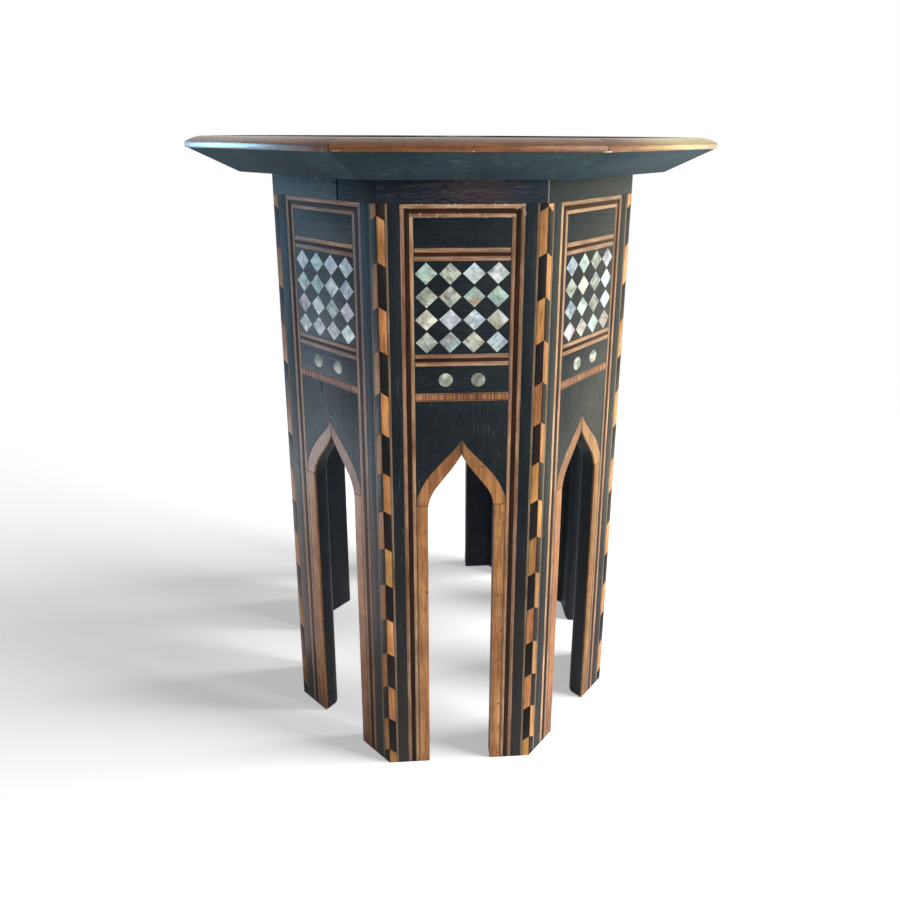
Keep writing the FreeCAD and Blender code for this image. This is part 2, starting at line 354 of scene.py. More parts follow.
# waxed wood with its grain along each bit: deep, body and pale colours, and a darker line at the edges of
# each bit that is partly dirt in the joints and partly painted shade of the gaps
stringSpec = {"deep": tint(80, 53, 38), "body": tint(138, 107, 83), "pale": tint(194, 161, 132),
              "grime": tint(36, 17, 11), "fibres": (1900, 46), "figure": (260, 14), "fine": (1700, 75),
              "blotches": 38.0, "varies": 0.24, "patchy": 0.26, "hue": 0.008, "dirt": 0.97, "dirtFrom": 0.64,
              "dirtTo": 0.88, "endDirt": 0.6, "endFrom": 0.985, "footDirt": 0.15, "footHigh": 0.06,
              "pores": 0.45, "rough": 0.45, "bump": 0.3, "relief": 0.0004, "shine": 0.12}


def woodFinish(name, **changes):
    spec = dict(stringSpec, **changes)
    material = bpy.data.materials.new(name)
    graph = Graph(material)
    numbers = graph.own()
    fibres = graph.grain(spec["fibres"], 5.0, 0.62, 0.4)
    figure = graph.grain(spec["figure"], 3.0, 0.5, 0.8)
    blotch = graph.noise(graph.objectPlace(), spec["blotches"], 3.0, 0.6)
    blend = graph.plus(graph.mult(fibres, 0.55), graph.mult(figure, 0.45))
    colour = graph.ramp(blend, [(0.33, spec["deep"]), (0.50, spec["body"]), (0.69, spec["pale"])])
    lift = graph.span(numbers["X"], 0, 1, 1 - spec["varies"], 1 + spec["varies"])
    patchy = graph.span(blotch, 0.3, 0.7, 1 - spec["patchy"], 1 + spec["patchy"])
    hue = graph.span(numbers["Y"], 0, 1, 0.5 - spec["hue"], 0.5 + spec["hue"])
    colour = graph.toned(Hue=hue, Value=graph.mult(lift, patchy), Color=colour)
    if "blush" in spec:  # patches where the wood or its polish has gone another colour
        blush = graph.noise(graph.objectPlace(), spec["blushScale"], 3.0, 0.65, 0.5)
        colour = graph.mix(graph.span(blush, 0.52, 0.70, 0.0, 0.45), colour, spec["blush"])
    if "tip" in spec:  # rubbed and grey above a height
        worn = graph.span(graph.level(), spec["tipFrom"], spec["tipFull"], 0.0, 0.9)
        colour = graph.mix(worn, colour, spec["tip"])
    # each bit darkened towards its edges and ends: dirt in the joints, and painted shade in the gaps between
    # bits
    within = graph.within()
    uneven = graph.math("SUBTRACT", figure, 0.5)
    across = graph.plus(graph.math("ABSOLUTE", within["X"]), graph.mult(uneven, 0.35))
    ends = graph.plus(graph.math("ABSOLUTE", within["Y"]), graph.mult(uneven, 0.03))
    dirt = graph.most(graph.span(across, spec["dirtFrom"], spec["dirtTo"], 0.0, spec["dirt"]),
                      graph.span(ends, spec["endFrom"], 1.0, 0.0, spec["endDirt"]))
    # darker towards the floor
    foot = graph.span(graph.level(), 0.0, spec["footHigh"], spec["footDirt"], 0.0)
    colour = graph.mix(graph.most(dirt, foot), colour, spec["grime"])
    pores = graph.span(graph.grain(spec["fine"], 2.0, 0.5), 0.58, 0.72, 0.0, spec["pores"])
    colour = graph.mix(pores, colour, spec["grime"])
    height = graph.math("SUBTRACT", fibres, graph.mult(pores, 0.6))
    if "worm" in spec:  # worm holes
        holes = graph.specks(spec["worm"], 0.07, 0.12, 0.55)
        colour = graph.mix(holes, colour, spec["grime"])
        height = graph.math("SUBTRACT", height, holes)
    if "chipped" in spec:  # pale chips between two heights
        level = graph.level()
        low, high, fade = spec["chipLow"], spec["chipHigh"], 0.0004
        inBand = graph.mult(graph.span(level, low, low + fade, 0.0, 1.0),
                            graph.span(level, high - fade, high, 1.0, 0.0))
        broken = graph.noise(graph.objectPlace(), spec["chipScale"], 3.0, 0.6)
        broken = graph.plus(broken, graph.span(ends, 0.86, 0.96, 0.0, spec["chipEnds"]))
        broken = graph.span(broken, spec["chipRare"], spec["chipRare"] + 0.04, 0.0, 0.9)
        colour = graph.mix(graph.mult(inBand, broken), colour, spec["chipped"])
    graph.link(colour, "Base Color")
    graph.link(graph.span(fibres, 0.3, 0.7, spec["rough"] - 0.07, spec["rough"] + 0.09), "Roughness")
    graph.bump(height, spec["bump"], spec["relief"])
    graph.set(Specular_IOR_Level=spec["shine"], Specular_Tint=(0.92, 0.97, 1.0, 1))
    return material


lightString = woodFinish("lightString")
chippedString = woodFinish("chippedString", chipped=tint(170, 158, 142), chipLow=0.464, chipHigh=0.476,
                           chipScale=420.0, chipRare=0.59, chipEnds=0.0)
paleString = woodFinish("paleString", deep=tint(98, 82, 64), body=tint(148, 128, 102),
                        pale=tint(192, 174, 146), varies=0.25, dirt=0.6)
darkString = woodFinish("darkString", deep=tint(28, 14, 8), body=tint(48, 26, 15), pale=tint(76, 43, 26),
                        grime=tint(16, 9, 8), dirt=0.6, shine=0.05)
edgingSpec = {"deep": tint(88, 53, 27), "body": tint(143, 96, 56), "pale": tint(182, 135, 87), "dirt": 0.75,
              "dirtFrom": 0.84, "dirtTo": 1.02, "endDirt": 0.3, "endFrom": 0.98, "pores": 0.7,
              "blush": tint(120, 72, 44), "blushScale": 80.0, "worm": 120.0, "shine": 0.22}
edgingWood = woodFinish("edgingWood", **edgingSpec)
edgingRubbed = woodFinish("edgingRubbed", **edgingSpec, tip=tint(88, 80, 74), tipFrom=0.290, tipFull=0.297)
toothLight = woodFinish("toothLight", deep=tint(106, 66, 36), body=tint(171, 118, 71),
                        pale=tint(206, 157, 102), varies=0.2, dirt=0.9, dirtFrom=0.8, dirtTo=1.0,
                        endDirt=0.8, pores=0.6)
toothDark = woodFinish("toothDark", deep=tint(14, 11, 11), body=tint(22, 17, 17), pale=tint(48, 34, 29),
                       varies=0.4, grime=tint(10, 8, 9), dirt=0.6, shine=0.1)
ropeTick = woodFinish("ropeTick", deep=tint(118, 82, 56), body=tint(158, 116, 87), pale=tint(194, 152, 120),
                      varies=0.25, hue=0.015, dirt=0.0)
ropeBrown = woodFinish("ropeBrown", deep=tint(84, 50, 30), body=tint(126, 79, 50), pale=tint(162, 110, 74),
                       varies=0.3, hue=0.02, dirt=0.0)
rimWood = woodFinish("rimWood", deep=tint(70, 34, 14), body=tint(124, 74, 38), pale=tint(162, 102, 56),
                     dirt=0.0, endDirt=0.9, endFrom=0.991, patchy=0.25, rough=0.22, shine=0.32,
                     blush=tint(62, 33, 20), blushScale=30.0, chipped=tint(225, 208, 190), chipLow=0.5113,
                     chipHigh=0.5124, chipScale=230.0, chipRare=0.70, chipEnds=0.19)
blockWood = woodFinish("blockWood", deep=tint(120, 92, 62), body=tint(164, 130, 90),
                       pale=tint(190, 160, 118), dirt=0.3, rough=0.75)

# ebonised wood: black stain with short fibres along the grain, scratches, and dust towards the floor
blackSpec = {"deep": tint(8, 13, 17), "body": tint(14, 21, 26), "pale": tint(27, 36, 42),
             "rubbed": tint(150, 148, 140), "dust": tint(46, 37, 33), "fibres": (1300, 160),
             "streaks": (390, 16), "scratches": (1690, 48), "clouds": 24.0, "tinges": 75.0, "patchy": 0.3,
             "worn": 0.4, "dusty": 0.75, "dustHigh": 0.26, "rough": 0.42, "bump": 1.0, "relief": 0.001,
             "shine": 0.12}


def ebonisedFinish(name, **changes):
    spec = dict(blackSpec, **changes)
    material = bpy.data.materials.new(name)
    graph = Graph(material)
    numbers = graph.own()
    fibres = graph.grain(spec["fibres"], 4.0, 0.6, 0.2)
    streaks = graph.grain(spec["streaks"], 3.0, 0.6, 0.3)
    cloud = graph.noise(graph.objectPlace(), spec["clouds"], 3.0, 0.6)
    blend = graph.plus(graph.mult(fibres, 0.65), graph.mult(streaks, 0.35))
    colour = graph.ramp(blend, [(0.38, spec["deep"]), (0.50, spec["body"]), (0.63, spec["pale"])])
    lift = graph.mult(graph.span(numbers["X"], 0, 1, 0.85, 1.15),
                      graph.span(cloud, 0.3, 0.7, 1 - spec["patchy"], 1 + spec["patchy"]))
    hue = graph.span(graph.noise(graph.objectPlace(), spec["tinges"], 2.0, 0.5), 0.3, 0.7, 0.47, 0.53)
    colour = graph.toned(Hue=hue, Value=lift, Color=colour)
    scratches = graph.grain(spec["scratches"], 2.0, 0.5)
    worn = graph.mult(graph.span(scratches, 0.64, 0.74, 0.0, 1.0),
                      graph.span(cloud, 0.46, 0.64, 0.0, spec["worn"]))
    colour = graph.mix(worn, colour, spec["rubbed"])
    if "faded" in spec:  # stain gone thin past the middle, and a pale line at the end
        lengthwise = graph.within()["Y"]
        uneven = graph.mult(graph.math("SUBTRACT", blend, 0.5), 9.0)
        thin = graph.mult(graph.span(graph.plus(lengthwise, uneven), -0.6, 0.9, 0.0, 0.5),
                          graph.span(lengthwise, 0.2, 0.7, 1.0, 0.1))
        colour = graph.mix(thin, colour, spec["faded"])
        colour = graph.mix(graph.span(lengthwise, 0.986, 0.994, 0.0, 0.8), colour, spec["rubbed"])
    dusty = graph.mult(graph.span(graph.level(), 0.0, spec["dustHigh"], spec["dusty"], 0.0),
                       graph.span(cloud, 0.3, 0.6, 0.6, 1.0))
    colour = graph.mix(dusty, colour, spec["dust"])
    graph.link(colour, "Base Color")
    graph.link(graph.span(blend, 0.35, 0.65, spec["rough"] - 0.1, spec["rough"] + 0.16), "Roughness")
    graph.bump(blend, spec["bump"], spec["relief"])
    graph.set(Specular_IOR_Level=spec["shine"], Specular_Tint=(0.86, 0.96, 1.0, 1))
    return material


blackWood = ebonisedFinish("blackWood")
# soffit: dusty blue-black, painted paler than the other black wood; the paleness is partly painted sheen
soffitBlack = ebonisedFinish("soffitBlack", deep=tint(48, 61, 67), body=tint(53, 67, 74),
                             pale=tint(64, 79, 87), patchy=0.16, worn=0.3, rough=0.6, bump=0.25, shine=0.01)
friezeBlack = ebonisedFinish("friezeBlack", deep=tint(8, 17, 25), body=tint(15, 27, 36),
                             pale=tint(30, 44, 54), faded=tint(88, 58, 50), worn=0.6)
friezeDull = ebonisedFinish("friezeDull", shine=0.04)
friezePale = ebonisedFinish("friezePale", deep=tint(28, 40, 48), body=tint(42, 56, 64),
                            pale=tint(80, 95, 103), worn=0.8)
insideBlack = ebonisedFinish("insideBlack", deep=tint(4, 10, 18), body=tint(9, 19, 30), pale=tint(22, 35, 49),
                             worn=0.3, dusty=0.2, rough=0.38, shine=0.14)
topBlack = ebonisedFinish("topBlack", body=tint(16, 23, 27), pale=tint(32, 40, 45), worn=0.12, dusty=0.0,
                          rough=0.5, bump=0.5, shine=0.0)

# mother-of-pearl: each bit has its own colour, brightness and direction, with patches and layers in it
pearlSpec = {"shades": [tint(146, 152, 140), tint(222, 218, 204), tint(192, 218, 207), tint(228, 231, 228),
                        tint(168, 190, 198), tint(206, 200, 214), tint(196, 180, 156)],
             "flaw": tint(150, 116, 80), "flawed": 0.91, "fleck": tint(226, 236, 229), "flecked": 0.4,
             "layers": (320, 55), "clouds": 100.0, "patches": 105.0, "stains": 62.0, "dimmest": 0.55,
             "brightest": 0.97, "saturation": 1.45, "shine": 0.5, "coat": 0.25, "film": 430.0}


def pearlFinish(name, **changes):
    spec = dict(pearlSpec, **changes)
    material = bpy.data.materials.new(name)
    graph = Graph(material)
    numbers = graph.own()
    turning = {"Vector": graph.grainPlace(), "Angle": graph.span(numbers["Z"], 0, 1, 0.0, math.tau)}
    turned = graph.node("ShaderNodeVectorRotate", turning, rotation_type="Z_AXIS").outputs["Vector"]
    layers = graph.noise(graph.drawnOut(turned, spec["layers"]), 1.0, 3.0, 0.55, 1.2)
    clouds = graph.noise(turned, spec["clouds"], 2.0, 0.5, 1.0)
    patch = graph.cells(turned, spec["patches"])[1]
    shades = spec["shades"]
    stops = [(number / (len(shades) - 1), shade) for number, shade in enumerate(shades)]
    whole = graph.ramp(numbers["Y"], stops)
    colour = graph.mix(graph.span(layers, 0.35, 0.65, 0.0, 0.5), whole, graph.ramp(patch["Red"], stops))
    lift = graph.math("POWER", numbers["X"], 0.6)
    lift = graph.span(lift, 0, 1, spec["dimmest"], spec["brightest"])
    lift = graph.mult(lift, graph.span(clouds, 0.34, 0.66, 0.52, 1.40))
    lift = graph.mult(lift, graph.span(patch["Green"], 0.0, 1.0, 0.76, 1.12))
    colour = graph.toned(Value=lift, Saturation=spec["saturation"], Color=colour)
    stain = graph.noise(turned, spec["stains"], 2.0, 0.5, 0.6)
    flaw = graph.mult(graph.span(stain, 0.54, 0.64, 0.0, 1.0),
                      graph.span(numbers["Z"], spec["flawed"], spec["flawed"] + 0.06, 0.0, 0.7))
    colour = graph.mix(flaw, colour, spec["flaw"])
    # pale streaks along the layers: paler nacre, and a painted highlight of its shimmer
    colour = graph.mix(graph.span(layers, 0.57, 0.68, 0.0, spec["flecked"]), colour, spec["fleck"])
    graph.link(colour, "Base Color")
    graph.link(graph.span(layers, 0.3, 0.7, 0.2, 0.38), "Roughness")
    graph.bump(layers, 0.15, 0.0003)
    graph.set(Specular_IOR_Level=spec["shine"], Coat_Weight=spec["coat"], Coat_Roughness=0.12)
    graph.set(Thin_Film_Thickness=spec["film"], Thin_Film_IOR=1.5)
    return material


pearl = pearlFinish("pearl")
discPearl = pearlFinish("discPearl", shades=[tint(150, 158, 146), tint(168, 176, 160), tint(154, 158, 148)],
                        dimmest=0.5, brightest=1.4, saturation=1.0, flaw=tint(104, 106, 92), flawed=0.3,
                        flecked=0.1, shine=0.12, coat=0.0, film=0.0)
print("materials ready")

# the front panel's measures, read from the frame
friezeLow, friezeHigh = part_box("frieze_rail_1")
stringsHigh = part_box("stringing_1")[1]
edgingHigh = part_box("arch_edging_1")[1]
ropeLow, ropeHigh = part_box("rope_banding")
discLow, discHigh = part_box("pearl_discs")
panel = {"outer": friezeLow.y, "inner": friezeHigh.y, "half": friezeHigh.x, "top": stringsHigh.z,
         "field": edgingHigh.x, "toothInner": stringsHigh.x, "ropeTop": ropeHigh.z, "ropeBase": ropeLow.z}
strings = {"inner": 0.0033, "dark": 0.0029, "outer": 0.0036, "corner": 0.0017, "bar": 0.004, "barDark": 0.002,
           "upperField": 0.0206, "lattice": 0.068, "softEdge": 0.00022}


def facingBar(name, left, right, base, top):
    return addBar(name, (left, panel["outer"], base), (right, panel["inner"], top))


def fieldBar(name, base, top):  # a strip across the whole field
    return facingBar(name, -panel["field"], panel["field"], base, top)


def mitredFrame(stem, outside, width, top):  # two uprights and a head, mitred where they meet
    inside = outside - width
    head = facingBar(stem + "Head", -outside, outside, top - width, top)
    right = facingBar(stem + "Right", inside, outside, 0, top)
    cutAway(right, (outside, 0, top), (-1, 0, 1))
    for side in (-1, 1):
        cutAway(head, (side * outside, 0, top), (side, 0, -1))
    return [head, right, mirrorCopy(right, stem + "Left")]


# light strings of one panel, then copied to the rest
outerHalf = panel["field"] + strings["inner"] + strings["dark"] + strings["outer"]
darkHalf = outerHalf - strings["outer"]
innerHalf = darkHalf - strings["dark"]
barHeight = 2 * strings["bar"] + strings["barDark"]
upperFieldTop = panel["top"] - (outerHalf - panel["field"])
barOneTop = upperFieldTop - strings["upperField"]
latticeTop = barOneTop - barHeight
barTwoTop = latticeTop - strings["lattice"]
discStripTop = barTwoTop - barHeight
bits = mitredFrame("outerString", outerHalf, strings["outer"], panel["top"])
innerTop = panel["top"] - strings["outer"] - strings["dark"]
bits += mitredFrame("innerString", innerHalf, strings["inner"], innerTop)
for barTop in (barOneTop, barTwoTop):
    barBase = barTop - barHeight
    bits.append(fieldBar("barUpper", barTop - strings["bar"], barTop))
    bits.append(fieldBar("barLower", barBase, barBase + strings["bar"]))
for bit in bits:
    soften(bit, strings["softEdge"])
lightStrings = joinPieces("strings", bits)
inlaidWoods = []
for index, piece in enumerate(allRound(lightStrings, "strings"), 1):
    stringFinish = chippedString if index == 1 else lightString
    finishPiece(piece, stringFinish, [f"stringing_{index}"], seed=100 + index)
    inlaidWoods.append(piece)

# the thin pale string beside each dogtooth
cornerEdge = panel["toothInner"] - strings["corner"]
cornerString = facingBar("cornerString", cornerEdge, panel["toothInner"], 0, panel["top"])
soften(cornerString, strings["softEdge"])
cornerPair = joinPieces("cornerPair", [cornerString, mirrorCopy(cornerString, "cornerStringLeft")])
cornerStrings = joinPieces("cornerStrings", allRound(cornerPair, "cornerPair"))
stringNodes = [f"stringing_{index}" for index in range(1, sides + 1)]
finishPiece(cornerStrings, paleString, stringNodes, seed=120)

# dark strings of every panel in one piece, with those of the top
darkBits = mitredFrame("darkString", darkHalf, strings["dark"], panel["top"] - strings["outer"])
for barTop in (barOneTop, barTwoTop):
    middleTop = barTop - strings["bar"]
    middleBase = middleTop - strings["barDark"]
    darkBits.append(fieldBar("barDark", middleBase, middleTop))
for bit in darkBits:
    soften(bit, strings["softEdge"])
darkPanel = joinPieces("darkPanel", darkBits)
darkRing = allRound(darkPanel, "darkPanel")
print("strings laid")

# inlay of the top: three strips to a side, mitred
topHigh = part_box("top_board")[1]
topStringLow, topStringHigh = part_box("top_stringing")
topInlay = {"apothem": topStringHigh.x, "depth": topHigh.z - topStringLow.z, "softEdge": 0.00015}


def topStrip(name, apothem, width):
    low = (-apothem, -apothem, topHigh.z - topInlay["depth"])
    strip = addBar(name, low, (apothem, -apothem + width, topHigh.z))
    mitreEnds(strip)
    soften(strip, topInlay["softEdge"])
    return strip


topDark = allRound(topStrip("topDark", topInlay["apothem"] - strings["outer"], strings["dark"]), "topDark")
darkStrings = joinPieces("darkStrings", darkRing + topDark)
finishPiece(darkStrings, darkString, ["dark_stringing"], seed=130)
topOuter = allRound(topStrip("topOuter", topInlay["apothem"], strings["outer"]), "topOuter")
topInnerApothem = topInlay["apothem"] - strings["outer"] - strings["dark"]
topInner = allRound(topStrip("topInner", topInnerApothem, strings["inner"]), "topInner")
topStrings = joinPieces("topStrings", topOuter + topInner)
finishPiece(topStrings, lightString, ["top_stringing"], seed=131)
topBoard = copyNode("top_board", "topBoard")
soften(topBoard, topInlay["softEdge"])
finishPiece(topBoard, topBlack, ["top_board"], seed=132)

# eight-pointed star: one lozenge drawn out along the middle of a side
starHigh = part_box("top_star")[1]
star = {"reach": starHigh.x, "softEdge": 0.0002}
starWide = star["reach"] / 2 * cornerSlope
deselectAll()
bpy.ops.mesh.primitive_cylinder_add(vertices=4, radius=1, depth=topInlay["depth"],
                                    location=(0, -star["reach"] / 2, topHigh.z - topInlay["depth"] / 2),
                                    scale=(starWide, star["reach"] / 2, 1))
starPoint = bpy.context.object
bpy.ops.object.transform_apply(location=True, rotation=True, scale=True)
soften(starPoint, star["softEdge"])
topStar = joinPieces("topStar", allRound(starPoint, "starPoint"))
finishPiece(topStar, pearl, ["top_star"], seed=133)
print("top inlaid")

# black veneer: bands, fields and the spandrel over the arch
bandBit = facingBar("band", outerHalf, cornerEdge, 0, panel["top"])
veneerBits = [bandBit, mirrorCopy(bandBit, "bandLeft"),
              fieldBar("upperField", barOneTop, upperFieldTop),
              fieldBar("latticeGround", barTwoTop, latticeTop),
              fieldBar("discStrip", panel["ropeTop"], discStripTop)]


def inSpandrel(place):
    onFront = place.y < panel["inner"] + slack and abs(place.x) < panel["field"] + slack
    return onFront and place.z < panel["ropeBase"] + slack


veneerBits.append(copyNode("black_veneer", "spandrel", inSpandrel))
veneer = {"softEdge": 0.0002}
for bit in veneerBits:
    soften(bit, veneer["softEdge"])
veneerRing = allRound(joinPieces("veneer", veneerBits), "veneer")

# a drying crack in the spandrel of one panel, wide at the top and closing downwards
crack = {"panel": 8, "across": -0.0102, "length": 0.0135, "wide": 0.0011, "closed": 0.12, "deep": 0.0018}
crackLow = (crack["across"] - crack["wide"] / 2, panel["outer"] - slack, panel["ropeBase"] - crack["length"])
crackHigh = (crack["across"] + crack["wide"] / 2, panel["outer"] + crack["deep"], panel["ropeBase"] + slack)
wedge = addBar("wedge", crackLow, crackHigh)
pickVertices(wedge, lambda place: place.z < crackLow[2] + slack)
crackEdge = (crack["across"] + crack["wide"], 0, 0)
bpy.ops.transform.resize(value=(crack["closed"], 1, 1), center_override=crackEdge)
bpy.ops.object.mode_set(mode="OBJECT")
wedge.data.transform(onPanel(crack["panel"]))
applyModifier(veneerRing[crack["panel"] - 1], "BOOLEAN", operation="DIFFERENCE", object=wedge, solver="EXACT")
bpy.data.objects.remove(wedge)
blackVeneer = joinPieces("blackVeneer", veneerRing)
finishPiece(blackVeneer, blackWood, ["black_veneer"], seed=140)

# arch edging: uprights and haunches taken from the solid with a fine joint left between them
edging = {"joint": 0.00012, "softEdge": 0.0003, "jointAt": 0.244}
edgingBits = []
for name, side in (("upright", 1), ("haunch", -1)):
    bit = copyNode("arch_edging_1", name)
    cutAway(bit, (0, 0, edging["jointAt"] - side * edging["joint"]), (0, 0, side))
    cutAway(bit, (edging["joint"], 0, 0), (-1, 0, 0))
    soften(bit, edging["softEdge"])
    edgingBits += [bit, mirrorCopy(bit, name + "Left")]
edgingPanel = joinPieces("edging", edgingBits)
for index, piece in enumerate(allRound(edgingPanel, "edging"), 1):
    edgingFinish = edgingRubbed if index == 1 else edgingWood
    finishPiece(piece, edgingFinish, [f"arch_edging_{index}"], seed=150 + index)
    inlaidWoods.append(piece)

# dogtooth: one slanted block, repeated down a corner, in two shades that swap from panel to panel
tooth = {"pitch": 0.0324, "rise": 0.004, "first": 0.4635, "lift": 0.006, "liftCorner": 1, "softEdge": 0.0002,
         "count": 9}


def toothRun(name, start):  # every second block along the right edge of the front panel
    block = facingBar(name, panel["toothInner"], panel["half"], start - tooth["pitch"], start)
    pickVertices(block, lambda place: place.x > panel["half"] - slack)
    bpy.ops.transform.translate(value=(0, 0, tooth["rise"]))
    applyModifier(block, "ARRAY", count=tooth["count"], use_relative_offset=False, use_constant_offset=True,
                  constant_offset_displace=(0, 0, -2 * tooth["pitch"]))
    cutAway(block, (0, 0, panel["top"]), (0, 0, 1))
    cutAway(block, (0, 0, 0), (0, 0, -1))
    cutAway(block, (0, 0, 0), (1, cornerSlope, 0))
    soften(block, tooth["softEdge"])
    return block


toothRuns = {}
for lifted in (False, True):  # the blocks at one corner are set higher
    start = tooth["first"] + (tooth["lift"] if lifted else 0)
    toothRuns[lifted] = [toothRun("evenRun", start + tooth["pitch"]), toothRun("oddRun", start)]
shades = ([], [])
for index in range(1, sides + 1):
    for corner, copyOf in ((index, copyPiece), (index - 1 or sides, mirrorCopy)):
        for number, run in enumerate(toothRuns[corner == tooth["liftCorner"]]):
            blocks = copyOf(run, "blocks")
            blocks.data.transform(onPanel(index))
            shades[(number + index) % 2].append(blocks)
for run in toothRuns[False] + toothRuns[True]:
    bpy.data.objects.remove(run)
teethLight = joinPieces("teethLight", shades[0])
teethDark = joinPieces("teethDark", shades[1])
finishPiece(teethLight, toothLight, ["dogtooth_light"], seed=160)
finishPiece(teethDark, toothDark, ["dogtooth_dark"], seed=161)
inlaidWoods += [cornerStrings, teethLight]
print("facing laid")

# mother-of-pearl: one lozenge and one disc, copied by hand and so never quite true
lattice = {"count": 4, "gap": 0.0007, "thick": 0.0012, "proud": 0.00012, "edge": 0.00028, "shift": 0.00022,
           "twist": 1.6, "grow": 0.025, "seed": 7}
pitchAcross = 2 * panel["field"] / lattice["count"]
pitchDown = strings["lattice"] / lattice["count"]
layFlat = Matrix.Rotation(math.pi / 2, 4, "X")


def pearlBlank(name, count, reach, edge):  # a thin prism with its axis out of the panel
    deselectAll()
    depth = lattice["thick"] + lattice["proud"]
    bpy.ops.mesh.primitive_cylinder_add(vertices=count, radius=1, depth=depth, scale=(*reach, 1))
    blank = bpy.context.object
    blank.name = name
    bpy.ops.object.transform_apply(scale=True)
    blank.data.transform(layFlat)
    pickVertices(blank, lambda place: place.y < 0)
    bpy.ops.mesh.bevel(offset=edge, segments=2, affect="EDGES")
    bpy.ops.object.mode_set(mode="OBJECT")
    bpy.ops.object.shade_smooth_by_angle(angle=smoothAngle)
    return blank


def placePearls(blank, name, spots, seed):
    draw = random.Random(seed)
    middleY = panel["outer"] - lattice["proud"] + (lattice["thick"] + lattice["proud"]) / 2
    copies = []
    for index in range(1, sides + 1):
        for across, height in spots:
            nudge = Vector((draw.uniform(-1, 1), 0, draw.uniform(-1, 1))) * lattice["shift"]
            place = Matrix.Translation(Vector((across, middleY, height)) + nudge)
            twist = Matrix.Rotation(math.radians(draw.uniform(-1, 1) * lattice["twist"]), 4, "Y")
            wide, tall = (1 + draw.uniform(-1, 0.7) * lattice["grow"] for side in range(2))
            shaped = place @ twist @ Matrix.Diagonal((wide, 1, tall, 1))
            copies.append(copyPiece(blank, name, onPanel(index) @ shaped))
    bpy.data.objects.remove(blank)
    return joinPieces(name, copies)


steps = range(lattice["count"])
latticeSpots = [(-panel["field"] + pitchAcross * (column + 0.5), latticeTop - pitchDown * (row + 0.5))
                for row in steps for column in steps]
lozengeReach = ((pitchAcross - lattice["gap"]) / 2, (pitchDown - lattice["gap"]) / 2)
lozengeBlank = pearlBlank("lozenge", 4, lozengeReach, lattice["edge"])
lozenges = placePearls(lozengeBlank, "lozenges", latticeSpots, lattice["seed"])
finishPiece(lozenges, pearl, ["pearl_lozenges"], seed=170)
disc = {"apart": 0.024, "sides": 40, "edge": 0.0005, "seed": 11}
discRadius = (discHigh.z - discLow.z) / 2
discSpots = [(side * disc["apart"] / 2, (discHigh.z + discLow.z) / 2) for side in (-1, 1)]
discBlank = pearlBlank("disc", disc["sides"], (discRadius, discRadius), disc["edge"])
discs = placePearls(discBlank, "discs", discSpots, disc["seed"])
finishPiece(discs, discPearl, ["pearl_discs"], seed=171)
print("pearl set")

# striped banding over the arch: pale and dark lines at its edges, brown blocks and thin ticks between
rope = {"line": 0.0005, "dark": 0.0004, "tick": (0.0005, 0.0010), "block": (0.0007, 0.0023),
        "softEdge": 0.00006, "seed": 5}
ropeLines = []
ropeDarks = []
for outside, inward in ((panel["ropeBase"], 1), (panel["ropeTop"], -1)):
    lineEnd = outside + inward * rope["line"]
    darkEnd = lineEnd + inward * rope["dark"]
    ropeLines.append(fieldBar("ropeLine", *sorted((outside, lineEnd))))
    ropeDarks.append(fieldBar("ropeDark", *sorted((lineEnd, darkEnd))))
tickLow = panel["ropeBase"] + rope["line"] + rope["dark"]
tickHigh = panel["ropeTop"] - rope["line"] - rope["dark"]
draw = random.Random(rope["seed"])
ropeBars = {"tick": [], "block": []}
reached = -panel["field"]
while reached < panel["field"]:
    for kind, bars in ropeBars.items():
        step = min(reached + draw.uniform(*rope[kind]), panel["field"])
        if step > reached:
            bars.append(facingBar(kind, reached, step, tickLow, tickHigh))
        reached = step


def ropePiece(name, bars):  # turned end for end on every second panel
    for bar in bars:
        soften(bar, rope["softEdge"], 1)
    run = joinPieces(name, bars)
    turnedRun = mirrorCopy(run, name)
    rounds = [copyPiece((run, turnedRun)[index % 2], name, onPanel(index)) for index in range(1, sides + 1)]
    for spare in (run, turnedRun):
        bpy.data.objects.remove(spare)
    return joinPieces(name, rounds)


ropeTicks = ropePiece("ropeTicks", ropeBars["tick"] + ropeLines)
ropeBlocks = ropePiece("ropeBlocks", ropeBars["block"])
ropeEdge = ropePiece("ropeEdge", ropeDarks)
finishPiece(ropeTicks, ropeTick, ["rope_banding"], seed=180)
finishPiece(ropeBlocks, ropeBrown, ["rope_banding"], seed=181)
finishPiece(ropeEdge, darkString, ["rope_banding"], seed=182)

# frieze rails, one of them in two lengths with an open joint
frieze = {"softEdge": 0.0003, "jointPanel": 8, "jointAt": 0.0192, "jointGap": 0.0018}
friezeFinishes = {1: friezeBlack, 8: friezeDull}
for index in range(1, sides + 1):
    lengths = [(-panel["half"], panel["half"])]
    if index == frieze["jointPanel"]:
        lengths = [(-panel["half"], frieze["jointAt"] - frieze["jointGap"] / 2),
                   (frieze["jointAt"] + frieze["jointGap"] / 2, panel["half"])]
    rails = [facingBar("friezeRail", left, right, panel["top"], friezeHigh.z) for left, right in lengths]
    for rail in rails:
        mitreEnds(rail)
        soften(rail, frieze["softEdge"])
    for number, rail in enumerate(rails):
        rail.name = f"frieze_{index}_{number + 1}"
        rail.data.transform(onPanel(index))
        friezeFinish = friezePale if number < len(rails) - 1 else friezeFinishes.get(index, blackWood)
        finishPiece(rail, friezeFinish, [f"frieze_rail_{index}"], seed=190 + index)

# boards of the base, their inner arrises round the arch and at the foot worn round
board = {"softEdge": 0.0005, "worn": 0.0055, "segments": 5, "archHalf": 0.0258}
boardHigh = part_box("panel_board_1")[1]


def onWornArris(place):
    return place.y > boardHigh.y - slack and (abs(place.x) < board["archHalf"] + slack or place.z < slack)


